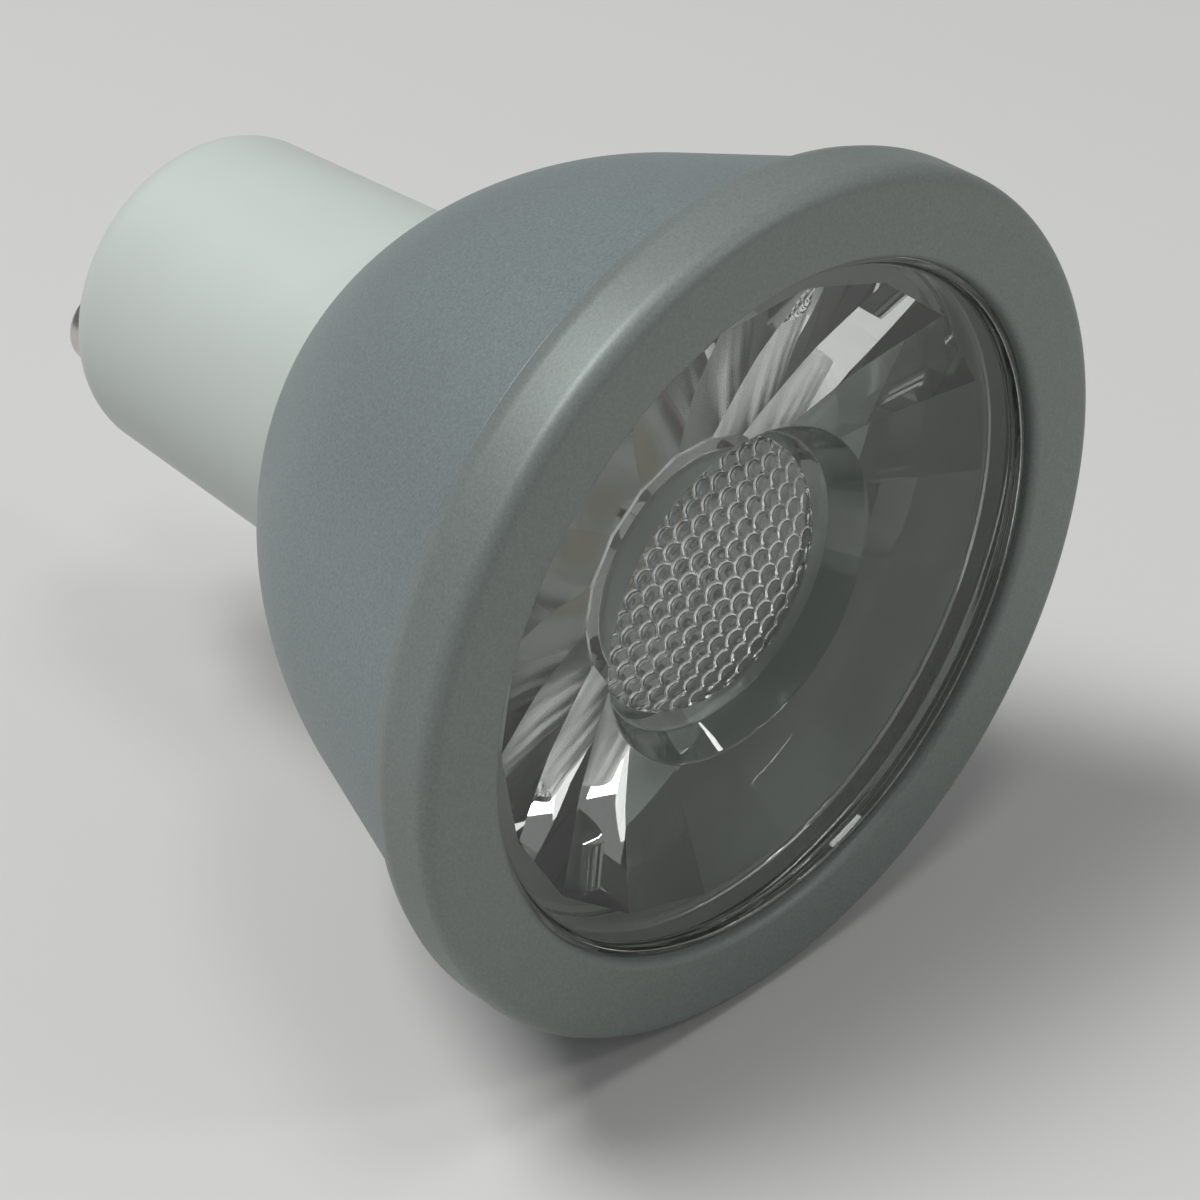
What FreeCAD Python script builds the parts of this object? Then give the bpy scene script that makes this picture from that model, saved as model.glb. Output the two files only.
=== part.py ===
"""GU10 spotlight bulb with a clear lens: a parametric FreeCAD document that exports one STEP file a piece.

Every piece is drawn in the lamp's own axes: Z along the beam from the end of the white base to the light,
X along the line of the two contact pins. The row frame has the beam along -Y and +Z up, with its origin at
the centre of the flat face that the pins stand out of. Sizes are in millimetres.
"""
import FreeCAD
import Part
import Sketcher
import math
import os

# The pins' line is turned this far about the beam, in degrees, as the lamp lies in the photograph.
PIN_ROLL = 40

SIZES = {
    # lengths along the beam, from the base's end face to the ring's front
    "base_length": 19.8,
    "shell_length": 24.2,
    "ring_height": 4.2,
    # front ring, with the walls, fits and steps that lead inwards from it
    "ring_diameter": 50.0,
    "ring_taper": 0.35,
    "ring_band": 1.7,
    "ring_edge_radius": 1.6,
    "ring_opening_round": 0.5,
    "ring_lip": 1.3,
    "ring_fit": 0.1,
    "ring_skirt_wall": 0.9,
    "lip_overlap": 1.2,
    # painted outer shell
    "shell_inset": 1.0,
    "shell_front_wall": 1.5,
    "rebate_depth": 1.8,
    "ledge_width": 1.2,
    "knee_inset": 3.95,
    "knee_height": 12.7,
    "knee_wall": 2.2,
    "back_step": 0.4,
    "back_wall": 2.8,
    # aluminium cup inside the shell
    "cup_clearance": 0.25,
    "cup_wall": 1.2,
    "cup_corner": 1.2,
    "cup_floor": 1.2,
    "cup_flange": 0.8,
    # white base
    "base_rim_diameter": 21.4,
    "base_taper": 0.8,
    "base_edge_radius": 2.5,
    "base_floor": 2.2,
    "shoulder": 0.9,
    "neck_fit": 0.2,
    "neck_wall": 1.4,
    "neck_length": 11.0,
    # contact pins
    "pin_pitch": 10.0,
    "pin_head_diameter": 4.9,
    "pin_head_height": 2.0,
    "pin_head_round": 0.45,
    "pin_neck_diameter": 3.0,
    "pin_length": 4.6,
    "pin_collar_diameter": 4.0,
    "pin_collar_height": 0.8,
    # clear lens
    "lens_fit": 0.2,
    "lens_face_gap": 0.2,
    "lens_recess": 0.8,
    "lens_flange": 1.6,
    "lens_foot_width": 1.1,
    "cone_margin": 1.5,
    "cone_bulge": 0.8,
    "tail_wall": 2.1,
    "tail_gap": 0.6,
    "dish_margin": 1.9,
    "dish_depth": 1.8,
    "well_rim_diameter": 20.4,
    "well_taper": 1.4,
    "well_depth": 1.7,
    "dome_height": 1.3,
    "cavity_diameter": 13.0,
    "cavity_depth": 4.2,
    "cavity_bulge": 1.0,
    # light source
    "pad_thickness": 0.2,
    "led_board_margin": 2.6,
    "led_board_thickness": 1.0,
    "emitter_height": 0.45,
    "dam_gap": 0.3,
    "dam_width": 0.6,
    "dam_height": 0.6,
    "notch_clearance": 0.75,
    # two screws that clamp the light source, the cup and the shell to the base
    "boss_inset": 1.5,
    "boss_wall": 0.9,
    "boss_length": 8.0,
    "screw_diameter": 2.2,
    "screw_length": 8.4,
    "screw_head_diameter": 4.0,
    "screw_head_height": 1.4,
    "screw_slot_width": 0.6,
    "screw_slot_depth": 0.7,
    "screw_clearance": 0.2,
    "thread_clearance": 0.05,
    # leads
    "lead_diameter": 0.9,
    "lead_inset": 1.2,
    "output_lead_run": 11.7,
    "output_lead_bend": 1.2,
    "lead_hole_clearance": 0.45,
    "input_lead_length": 6.0,
    # driver board, with its face one lead radius behind the axis
    "driver_thickness": 1.2,
    "driver_start": 4.8,
    "driver_end_gap": 2.8,
    "groove_bite": 0.2,
    "groove_end_slack": 0.15,
    "groove_slack": 0.05,
    # parts on the driver board
    "core_thickness": 4.0,
    "core_height": 6.6,
    "core_length": 9.0,
    "core_leg": 1.4,
    "core_yoke": 1.6,
    "core_middle_leg": 1.5,
    "winding_slack": 0.1,
    "winding_overhang": 1.1,
    "capacitor_gap": 1.0,
    "capacitor_reach": 7.0,
    "electrolytic_diameter": 5.0,
    "electrolytic_length": 8.0,
    "capacitor_spacing": 1.7,
    "film_width": 4.4,
    "film_boss_gap": 0.65,
    "film_length": 7.0,
    "fuse_diameter": 2.4,
    "fuse_length": 6.4,
    "fuse_start": 2.4,
    "bridge_width": 4.7,
    "bridge_height": 2.4,
    "bridge_length": 3.9,
    "bridge_start": 3.2,
    "driver_chip_width": 4.9,
    "driver_chip_height": 1.5,
    "driver_chip_length": 3.9,
    "driver_chip_start": 9.2,
    "diode_width": 4.2,
    "diode_height": 2.2,
    "diode_length": 2.6,
    "diode_start": 15.2,
    "chip_resistor_width": 2.0,
    "chip_resistor_height": 0.55,
    "chip_resistor_length": 1.25,
    "chip_resistor_offset": 5.0,
    "chip_resistor_start": 5.4,
    "chip_resistor_step": 6.0,
}

doc = FreeCAD.newDocument("gu10_spotlight_bulb")
sheet = doc.addObject("Spreadsheet::Sheet", "dims")
for row, (alias, size) in enumerate(SIZES.items(), start=1):
    sheet.set(f"A{row}", alias)
    sheet.set(f"B{row}", str(size))
    sheet.setAlias(f"B{row}", alias)
doc.recompute()

# Heights along the beam that more than one piece shares.
BACK = "dims.base_length"
SEAM = f"({BACK} + dims.shell_length)"
FRONT = f"({SEAM} + dims.ring_height)"
KNEE = f"({BACK} + dims.knee_height)"
LEDGE = f"({SEAM} - dims.rebate_depth)"
CUP_RIM = f"({LEDGE} + dims.cup_flange)"
CUP_BACK = f"({BACK} + dims.neck_length)"
CUP_FACE = f"({CUP_BACK} + dims.cup_floor)"
LED_BACK = f"({CUP_FACE} + dims.pad_thickness)"
LED_FACE = f"({LED_BACK} + dims.led_board_thickness)"
LIP = f"({FRONT} - dims.ring_lip)"
FLANGE = f"({LIP} - dims.lens_flange)"
LENS_FACE = f"({FRONT} - dims.lens_recess)"
LENS_TAIL = f"({LED_FACE} + dims.screw_head_height + dims.tail_gap)"
WELL_RIM = f"({LENS_FACE} - dims.dish_depth)"
WELL_FLOOR = f"({WELL_RIM} - dims.well_depth)"
PIN_TAIL = "(dims.base_floor + dims.pin_collar_height)"
# Radii, chained inwards from the ring's outside at the front and from the base's rim at the back.
RING = "(dims.ring_diameter / 2)"
SHELL_FRONT = f"({RING} - dims.shell_inset)"
REBATE = f"({SHELL_FRONT} - dims.shell_front_wall)"
LEDGE_INSIDE = f"({REBATE} - dims.ledge_width)"
RING_SKIRT = f"({REBATE} - dims.ring_fit)"
RING_BORE = f"({RING_SKIRT} - dims.ring_skirt_wall)"
LENS = f"({RING_BORE} - dims.lens_fit)"
RING_OPENING = f"({LENS} - dims.lip_overlap)"
LENS_FRONT = f"({RING_OPENING} - dims.lens_face_gap)"
CONE_FRONT = f"({LENS_FRONT} - dims.cone_margin)"
CONE_TAIL = "(dims.cavity_diameter / 2 + dims.tail_wall)"
WELL_TOP = "(dims.well_rim_diameter / 2)"
WELL_BOTTOM = f"({WELL_TOP} - dims.well_taper)"
SHELL_KNEE = f"({SHELL_FRONT} - dims.knee_inset)"
KNEE_INSIDE = f"({SHELL_KNEE} - dims.knee_wall)"
CUP_KNEE = f"({KNEE_INSIDE} - dims.cup_clearance)"
CUP_TOP = f"({LEDGE_INSIDE} - dims.cup_clearance)"
BASE_RIM = "(dims.base_rim_diameter / 2)"
BASE_END = f"({BASE_RIM} - dims.base_taper)"
NECK = f"({BASE_RIM} - dims.shoulder)"
SHELL_HOLE = f"({NECK} + dims.neck_fit)"
SHELL_BACK = f"({BASE_RIM} + dims.back_step)"
BORE = f"({NECK} - dims.neck_wall)"
POCKET = f"((3 * {SHELL_HOLE} + {KNEE_INSIDE}) / 4)"
# Offsets from the axis of the screws and the output leads, and the board sizes that follow from them.
SCREW_AT = f"({BORE} - dims.boss_inset)"
LEAD_AT = f"({BORE} - dims.lead_inset)"
LED_RADIUS = f"({SCREW_AT} + dims.led_board_margin)"
DAM = f"({SCREW_AT} - dims.screw_head_diameter / 2 - dims.dam_gap)"
EMITTER = f"({DAM} - dims.dam_width)"
NOTCH_HALF = "(dims.lead_diameter / 2 + dims.notch_clearance)"
DRIVER_HALF = f"({BORE} + dims.groove_bite)"
# Faces of the driver board across the beam: the leads lie on its front face, along the pins' plane.
DRIVER_FACE = "(-dims.lead_diameter / 2)"
DRIVER_BACK = f"({DRIVER_FACE} - dims.driver_thickness)"
DRIVER_END = f"({CUP_BACK} - dims.driver_end_gap)"

ROLLED = FreeCAD.Rotation(FreeCAD.Vector(0, 0, 1), PIN_ROLL)
ALONG_BEAM = FreeCAD.Rotation(FreeCAD.Vector(1, 0, 0), 90) * ROLLED
TANGENT = "tangent"


def value(expression):
    """Return what an expression on the sheet's sizes comes to."""
    return float(sheet.evalExpression(expression))


def place(piece, x="0", y="0", z="0", turn=FreeCAD.Rotation()):
    """Put a piece at x, y, z in the lamp's axes, turned first in its own, and bind the place to the sheet."""
    piece.Placement = FreeCAD.Placement(FreeCAD.Vector(0, 0, 0), ALONG_BEAM * turn)
    piece.setExpression("Placement.Base.x", f"({x}) * cos({PIN_ROLL} deg) - ({y}) * sin({PIN_ROLL} deg)")
    piece.setExpression("Placement.Base.y", f"-({z})")
    piece.setExpression("Placement.Base.z", f"({x}) * sin({PIN_ROLL} deg) + ({y}) * cos({PIN_ROLL} deg)")
    return piece


def arc_between(start, end, radius, side):
    """Return the centre of the short arc of a radius between two points, on the left or right of the run."""
    run = end - start
    across = FreeCAD.Vector(-run.y, run.x, 0) / run.Length
    rise = math.sqrt(max(radius**2 - run.Length**2 / 4, 0))
    return (start + end) / 2 + across * (rise if side == "left" else -rise)


def arc_leaving(before, start, end):
    """Return the centre of the arc from start to end that carries straight on from the run before it."""
    run = start - before
    across = FreeCAD.Vector(-run.y, run.x, 0) / run.Length
    chord = end - start
    return start + across * (chord.Length**2 / (2 * chord.dot(across)))


def turned(label, corners):
    """Return a body turned about its own Z from a closed outline of (radius, height) expressions.

    A third item bends the run to the next corner: (radius, side) for an arc whose centre is on that side of
    the run, or TANGENT for an arc that carries smoothly on from the run before.
    """
    body = doc.addObject("PartDesign::Body", label)
    plane = next(item for item in body.Origin.OriginFeatures if item.Role == "XZ_Plane")
    outline = body.newObject("Sketcher::SketchObject", f"{label}_outline")
    outline.AttachmentSupport = [(plane, "")]
    outline.MapMode = "FlatFace"
    points = [FreeCAD.Vector(value(corner[0]), value(corner[1]), 0) for corner in corners]
    count = len(corners)
    starts = []
    for index, corner in enumerate(corners):
        start = points[index]
        end = points[(index + 1) % count]
        if len(corner) == 2:
            outline.addGeometry(Part.LineSegment(start, end), False)
            starts.append(1)
            continue
        if corner[2] == TANGENT:
            centre = arc_leaving(points[index - 1], start, end)
        else:
            centre = arc_between(start, end, value(corner[2][0]), corner[2][1])
        clockwise = (start - centre).cross(end - centre).z < 0
        first, last = (end, start) if clockwise else (start, end)
        first_angle = math.atan2(first.y - centre.y, first.x - centre.x)
        last_angle = math.atan2(last.y - centre.y, last.x - centre.x)
        if last_angle < first_angle:
            last_angle += 2 * math.pi
        circle = Part.Circle(centre, FreeCAD.Vector(0, 0, 1), (start - centre).Length)
        outline.addGeometry(Part.ArcOfCircle(circle, first_angle, last_angle), False)
        starts.append(2 if clockwise else 1)
    for index, corner in enumerate(corners):
        before = (index - 1) % count
        smooth = len(corner) == 3 and corner[2] == TANGENT
        kind = "Tangent" if smooth else "Coincident"
        outline.addConstraint(Sketcher.Constraint(kind, before, 3 - starts[before], index, starts[index]))
        if len(corner) == 3 and not smooth:
            size = outline.addConstraint(Sketcher.Constraint("Radius", index, value(corner[2][0])))
            outline.renameConstraint(size, f"round_{index}")
            outline.setExpression(f"Constraints.round_{index}", corner[2][0])
        for kind, axis, expression, name in (
            ("DistanceX", -2, corner[0], f"radius_{index}"),
            ("DistanceY", -1, corner[1], f"height_{index}"),
        ):
            if expression == "0":
                outline.addConstraint(Sketcher.Constraint("PointOnObject", index, starts[index], axis))
                continue
            rule = Sketcher.Constraint(kind, -1, 1, index, starts[index], value(expression))
            size = outline.addConstraint(rule)
            outline.renameConstraint(size, name)
            outline.setExpression(f"Constraints.{name}", expression)
    turn = body.newObject("PartDesign::Revolution", f"{label}_turn")
    turn.Profile = outline
    turn.ReferenceAxis = (outline, ["V_Axis"])
    turn.Angle = 360
    outline.Visibility = False
    body.Tip = turn
    return place(body)


def cylinder(label, radius, height, x="0", y="0", z="0", turn=FreeCAD.Rotation()):
    """Return a cylinder that starts at x, y, z and runs along the beam unless it is turned."""
    solid = doc.addObject("Part::Cylinder", label)
    solid.setExpression("Radius", radius)
    solid.setExpression("Height", height)
    return place(solid, x, y, z, turn)


def box(label, size, corner):
    """Return a box of (x, y, z) sizes with its low corner at (x, y, z) in the lamp's axes."""
    solid = doc.addObject("Part::Box", label)
    solid.setExpression("Length", size[0])
    solid.setExpression("Width", size[1])
    solid.setExpression("Height", size[2])
    return place(solid, *corner)


def fused(label, solids):
    """Return one object made of several solids."""
    union = doc.addObject("Part::MultiFuse", label)
    union.Shapes = solids
    return union


def cut(label, base, tools):
    """Return a solid with the tools taken out of it."""
    result = doc.addObject("Part::Cut", label)
    result.Base = base
    result.Tool = tools[0] if len(tools) == 1 else fused(f"{label}_tools", tools)
    return result


# White base: a moulded cup whose neck passes into the shell, with two screw bosses and two board grooves.
base_cup = turned("base_cup", [
    ("0", "0"),
    (f"{BASE_END} - dims.base_edge_radius", "0", ("dims.base_edge_radius", "left")),
    (BASE_END, "dims.base_edge_radius"),
    (BASE_RIM, BACK),
    (NECK, BACK),
    (NECK, CUP_BACK),
    (BORE, CUP_BACK),
    (BORE, "dims.base_floor"),
    ("0", "dims.base_floor"),
])
bosses = []
openings = []
for side, sign in (("upper", ""), ("lower", "-")):
    across = f"{sign}{SCREW_AT}"
    bosses.append(cylinder(
        f"{side}_boss", "dims.screw_diameter / 2 + dims.boss_wall", "dims.boss_length",
        "0", across, f"{CUP_BACK} - dims.boss_length",
    ))
    openings.append(cylinder(
        f"{side}_pilot_hole", "dims.screw_diameter / 2 + dims.thread_clearance", "dims.boss_length",
        "0", across, f"{CUP_BACK} - dims.boss_length",
    ))
for side, sign in (("left", "-"), ("right", "")):
    openings.append(cylinder(
        f"{side}_pin_hole", "dims.pin_neck_diameter / 2 + dims.thread_clearance", "dims.base_floor * 2",
        f"{sign}dims.pin_pitch / 2", "0", "-dims.base_floor / 2",
    ))
openings.append(box(
    "board_grooves",
    (
        f"2 * ({DRIVER_HALF} + dims.groove_end_slack)",
        "dims.driver_thickness + 2 * dims.groove_slack",
        f"{CUP_BACK} - dims.driver_start",
    ),
    (
        f"-{DRIVER_HALF} - dims.groove_end_slack",
        f"{DRIVER_BACK} - dims.groove_slack",
        "dims.driver_start",
    ),
))
base_housing = cut("base_housing", fused("base_with_bosses", [base_cup] + bosses), openings)

# Contact pins: turned brass, each riveted through the base's floor by its inner collar.
contact_pins = []
for side, sign in (("left", "-"), ("right", "")):
    pin = turned(f"contact_pin_{side}", [
        ("0", "0"),
        ("dims.pin_head_diameter / 2 - dims.pin_head_round", "0", ("dims.pin_head_round", "left")),
        ("dims.pin_head_diameter / 2", "dims.pin_head_round"),
        ("dims.pin_head_diameter / 2", "dims.pin_head_height"),
        ("dims.pin_neck_diameter / 2", "dims.pin_head_height"),
        ("dims.pin_neck_diameter / 2", "dims.pin_length"),
        ("dims.pin_neck_diameter / 2 - dims.thread_clearance", "dims.pin_length"),
        ("dims.pin_neck_diameter / 2 - dims.thread_clearance", "dims.pin_length + dims.base_floor"),
        ("dims.pin_collar_diameter / 2", "dims.pin_length + dims.base_floor"),
        ("dims.pin_collar_diameter / 2", "dims.pin_length + dims.base_floor + dims.pin_collar_height"),
        ("0", "dims.pin_length + dims.base_floor + dims.pin_collar_height"),
    ])
    contact_pins.append(place(pin, f"{sign}dims.pin_pitch / 2", "0", "-dims.pin_length"))

# Outer shell: a moulded bowl, a cone at the front that runs smoothly into a rounded back.
body_shell = turned("body_shell", [
    (SHELL_FRONT, SEAM),
    (SHELL_KNEE, KNEE, TANGENT),
    (SHELL_BACK, BACK),
    (SHELL_HOLE, BACK),
    (SHELL_HOLE, f"{BACK} + dims.back_wall"),
    (POCKET, f"{BACK} + dims.back_wall"),
    (KNEE_INSIDE, KNEE),
    (LEDGE_INSIDE, LEDGE),
    (REBATE, LEDGE),
    (REBATE, SEAM),
])

# Aluminium cup: drawn to the shell's inside and hung by its flange on the shell's ledge, with a flat floor
# that carries the light source.
cup = turned("cup", [
    ("0", CUP_BACK),
    (f"{CUP_KNEE} - dims.cup_corner", CUP_BACK),
    (CUP_KNEE, KNEE),
    (CUP_TOP, LEDGE),
    (f"{REBATE} - 2 * dims.ring_fit", LEDGE),
    (f"{REBATE} - 2 * dims.ring_fit", CUP_RIM),
    (f"{CUP_TOP} - dims.cup_wall", CUP_RIM),
    (f"{CUP_KNEE} - dims.cup_corner - dims.cup_wall / 3", CUP_FACE),
    ("0", CUP_FACE),
])


def clamp_holes(label, start, height):
    """Return the two screw holes through a piece under the light source."""
    return [
        cylinder(
            f"{label}_{side}_screw_hole", "dims.screw_diameter / 2 + dims.screw_clearance", height,
            "0", f"{sign}{SCREW_AT}", start,
        )
        for side, sign in (("upper", ""), ("lower", "-"))
    ]


cup_holes = clamp_holes("cup", f"{CUP_BACK} - dims.cup_floor", "3 * dims.cup_floor")
for side, sign in (("left", "-"), ("right", "")):
    cup_holes.append(cylinder(
        f"{side}_lead_hole", "dims.lead_diameter / 2 + dims.lead_hole_clearance", "3 * dims.cup_floor",
        f"{sign}{LEAD_AT}", "0", f"{CUP_BACK} - dims.cup_floor",
    ))
heat_sink_cup = cut("heat_sink_cup", cup, cup_holes)

# Front ring: one moulding with a rounded front edge, a lip over the lens and a skirt in the shell's rebate.
front_ring = turned("front_ring", [
    (RING_OPENING, f"{FRONT} - dims.ring_opening_round", ("dims.ring_opening_round", "right")),
    (f"{RING_OPENING} + dims.ring_opening_round", FRONT),
    (f"{RING} - dims.ring_edge_radius", FRONT, ("dims.ring_edge_radius", "right")),
    (RING, f"{FRONT} - dims.ring_edge_radius"),
    (RING, f"{FRONT} - dims.ring_edge_radius - dims.ring_band"),
    (f"{RING} - dims.ring_taper", SEAM),
    (RING_SKIRT, SEAM),
    (RING_SKIRT, CUP_RIM),
    (RING_BORE, CUP_RIM),
    (RING_BORE, LIP),
    (RING_OPENING, LIP),
])

# Lens: one clear moulding, a flanged disc on a faceted cone, with a dished front, a round well with a low
# dome on its floor, and a cavity over the light source.
lens_disc = turned("lens_disc", [
    ("0", FLANGE),
    (f"{LENS} - dims.lens_foot_width", FLANGE),
    (f"{LENS} - dims.lens_foot_width", CUP_RIM),
    (LENS, CUP_RIM),
    (LENS, LIP),
    (LENS_FRONT, LIP),
    (LENS_FRONT, LENS_FACE),
    ("0", LENS_FACE),
])
cone_sections = []
for name, radius, height in (
    ("tail", CONE_TAIL, LENS_TAIL),
    ("middle", f"({CONE_TAIL} + {CONE_FRONT}) / 2 + dims.cone_bulge", f"({LENS_TAIL} + {FLANGE}) / 2"),
    ("front", CONE_FRONT, f"{FLANGE} + dims.lens_flange / 4"),
):
    section = doc.addObject("Part::RegularPolygon", f"cone_{name}")
    section.Polygon = 18
    section.setExpression("Circumradius", radius)
    cone_sections.append(place(section, z=height))
lens_cone = doc.addObject("Part::Loft", "lens_cone")
lens_cone.Sections = cone_sections
lens_cone.Solid = True
lens_cone.Ruled = False
DOME_RADIUS = f"({WELL_BOTTOM} ^ 2 + dims.dome_height ^ 2) / (2 * dims.dome_height)"
lens_well = turned("lens_well", [
    (WELL_BOTTOM, WELL_FLOOR),
    (WELL_TOP, WELL_RIM),
    (f"{LENS_FRONT} - dims.dish_margin", LENS_FACE),
    (f"{LENS_FRONT} - dims.dish_margin", FRONT),
    ("0", FRONT),
    ("0", f"{WELL_FLOOR} + dims.dome_height", (DOME_RADIUS, "right")),
])
BULGE_RADIUS = "((dims.cavity_diameter / 2) ^ 2 + dims.cavity_bulge ^ 2) / (2 * dims.cavity_bulge)"
lens_cavity = turned("lens_cavity", [
    ("dims.cavity_diameter / 2", f"{LENS_TAIL} - dims.tail_gap"),
    ("dims.cavity_diameter / 2", f"{LENS_TAIL} + dims.cavity_depth", (BULGE_RADIUS, "right")),
    ("0", f"{LENS_TAIL} + dims.cavity_depth - dims.cavity_bulge"),
    ("0", f"{LENS_TAIL} - dims.tail_gap"),
])
lens = cut("lens", fused("lens_blank", [lens_disc, lens_cone]), [lens_well, lens_cavity])

# Light source: a round metal-core board on a thermal pad, with a phosphor disc inside a silicone dam.
layers = []
for label, start, height in (
    ("thermal_pad", CUP_FACE, "dims.pad_thickness"),
    ("cob_board", LED_BACK, "dims.led_board_thickness"),
):
    disc = cylinder(f"{label}_disc", LED_RADIUS, height, z=start)
    tools = clamp_holes(label, f"{start} - {height}", f"3 * ({height})")
    for side, low in (("left", f"-{LED_RADIUS} - {NOTCH_HALF}"), ("right", f"{LEAD_AT} - {NOTCH_HALF}")):
        tools.append(box(
            f"{label}_{side}_notch",
            (f"{LED_RADIUS} - {LEAD_AT} + 2 * {NOTCH_HALF}", f"2 * {NOTCH_HALF}", f"3 * ({height})"),
            (low, f"-{NOTCH_HALF}", f"{start} - {height}"),
        ))
    layers.append(cut(label, disc, tools))
cob_phosphor = cylinder("cob_phosphor", EMITTER, "dims.emitter_height", z=LED_FACE)
cob_dam = turned("cob_dam", [
    (EMITTER, LED_FACE),
    (DAM, LED_FACE),
    (DAM, f"{LED_FACE} + dims.dam_height / 2"),
    (f"({EMITTER} + {DAM}) / 2", f"{LED_FACE} + dims.dam_height"),
    (EMITTER, f"{LED_FACE} + dims.dam_height / 2"),
])

# Fixing screws: two self-tapping screws, with pan heads on the light source's board and threads in the
# base's bosses.
screw_blank = turned("screw_blank", [
    ("0", "0"),
    ("dims.screw_diameter / 6", "0"),
    ("dims.screw_diameter / 2", "dims.screw_diameter / 2"),
    ("dims.screw_diameter / 2", "dims.screw_length"),
    ("dims.screw_head_diameter / 2", "dims.screw_length"),
    ("dims.screw_head_diameter / 2", "dims.screw_length + dims.screw_head_height / 2"),
    ("dims.screw_head_diameter / 3", "dims.screw_length + dims.screw_head_height"),
    ("0", "dims.screw_length + dims.screw_head_height"),
])
place(screw_blank, "0", SCREW_AT, f"{LED_FACE} - dims.screw_length")
SLOT_LENGTH = "dims.screw_head_diameter * 0.6"
SLOT_START = f"{LED_FACE} + dims.screw_head_height - dims.screw_slot_depth"
screw_slots = [
    box(
        "screw_slot_across",
        (SLOT_LENGTH, "dims.screw_slot_width", "dims.screw_head_height"),
        (f"-{SLOT_LENGTH} / 2", f"{SCREW_AT} - dims.screw_slot_width / 2", SLOT_START),
    ),
    box(
        "screw_slot_along",
        ("dims.screw_slot_width", SLOT_LENGTH, "dims.screw_head_height"),
        ("-dims.screw_slot_width / 2", f"{SCREW_AT} - {SLOT_LENGTH} / 2", SLOT_START),
    ),
]
upper_screw = cut("upper_screw", screw_blank, screw_slots)
lower_screw = doc.addObject("Part::Mirroring", "lower_screw")
lower_screw.Source = upper_screw
lower_screw.Normal = ALONG_BEAM.multVec(FreeCAD.Vector(0, 1, 0))
fixing_screws = doc.addObject("Part::Compound", "fixing_screws")
fixing_screws.Links = [upper_screw, lower_screw]

# Leads: insulated wires, two straight ones from the pins to the driver board and two that run up through the
# cup's floor and loop over onto the light source's board.
input_leads = []
output_leads = []
for side, sign in (("left", "-"), ("right", "")):
    input_leads.append(cylinder(
        f"input_lead_{side}", "dims.lead_diameter / 2", "dims.input_lead_length",
        f"{sign}dims.pin_pitch / 2", "0", PIN_TAIL,
    ))
    across = f"{sign}{LEAD_AT}"
    run = cylinder(
        f"output_run_{side}", "dims.lead_diameter / 2", "dims.output_lead_run",
        across, "0", f"{LED_FACE} - dims.output_lead_run",
    )
    bend = doc.addObject("Part::Torus", f"output_bend_{side}")
    bend.setExpression("Radius1", "dims.output_lead_bend")
    bend.setExpression("Radius2", "dims.lead_diameter / 2")
    bend.Angle3 = 180
    upright = FreeCAD.Rotation(FreeCAD.Vector(0, 0, 1), FreeCAD.Vector(1, 0, 0))
    level = FreeCAD.Rotation(FreeCAD.Vector(0, 0, 1), 90)
    place(bend, across, "dims.output_lead_bend", LED_FACE, upright * level)
    output_leads.append(fused(f"output_lead_{side}", [run, bend]))

# Driver board: slid into the base's grooves, with large parts on its front and small ones on its back.
driver_board = box(
    "driver_board",
    (f"2 * {DRIVER_HALF}", "dims.driver_thickness", f"{DRIVER_END} - dims.driver_start"),
    (f"-{DRIVER_HALF}", DRIVER_BACK, "dims.driver_start"),
)

# Transformer: a ferrite core with two windows, and a copper winding around its middle leg.
CAPACITOR_Z = f"({DRIVER_END} - dims.capacitor_reach)"
CORE_Z = f"({CAPACITOR_Z} - dims.capacitor_gap - dims.core_length)"
WINDOW = "((dims.core_height - 2 * dims.core_leg - dims.core_middle_leg) / 2)"
core_block = box(
    "core_block",
    ("dims.core_thickness", "dims.core_height", "dims.core_length"),
    ("-dims.core_thickness / 2", DRIVER_FACE, CORE_Z),
)
core_windows = [
    box(
        f"{name}_window",
        ("2 * dims.core_thickness", WINDOW, "dims.core_length - 2 * dims.core_yoke"),
        ("-dims.core_thickness", low, f"{CORE_Z} + dims.core_yoke"),
    )
    for name, low in (
        ("lower", f"{DRIVER_FACE} + dims.core_leg"),
        ("upper", f"{DRIVER_FACE} + dims.core_leg + {WINDOW} + dims.core_middle_leg"),
    )
]
transformer_core = cut("transformer_core", core_block, core_windows)
winding_block = box(
    "winding_block",
    (
        "dims.core_thickness + 2 * dims.winding_overhang",
        "dims.core_height - 2 * dims.core_leg - 2 * dims.winding_slack",
        "dims.core_length - 2 * dims.core_yoke - 2 * dims.winding_slack",
    ),
    (
        "-dims.core_thickness / 2 - dims.winding_overhang",
        f"{DRIVER_FACE} + dims.core_leg + dims.winding_slack",
        f"{CORE_Z} + dims.core_yoke + dims.winding_slack",
    ),
)
winding_hole = box(
    "winding_hole",
    (
        "dims.core_thickness + 2 * dims.winding_slack",
        "dims.core_middle_leg + 2 * dims.winding_slack",
        "dims.core_length",
    ),
    (
        "-dims.core_thickness / 2 - dims.winding_slack",
        f"{DRIVER_FACE} + dims.core_leg + {WINDOW} - dims.winding_slack",
        CORE_Z,
    ),
)
transformer_winding = cut("transformer_winding", winding_block, [winding_hole])

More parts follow.
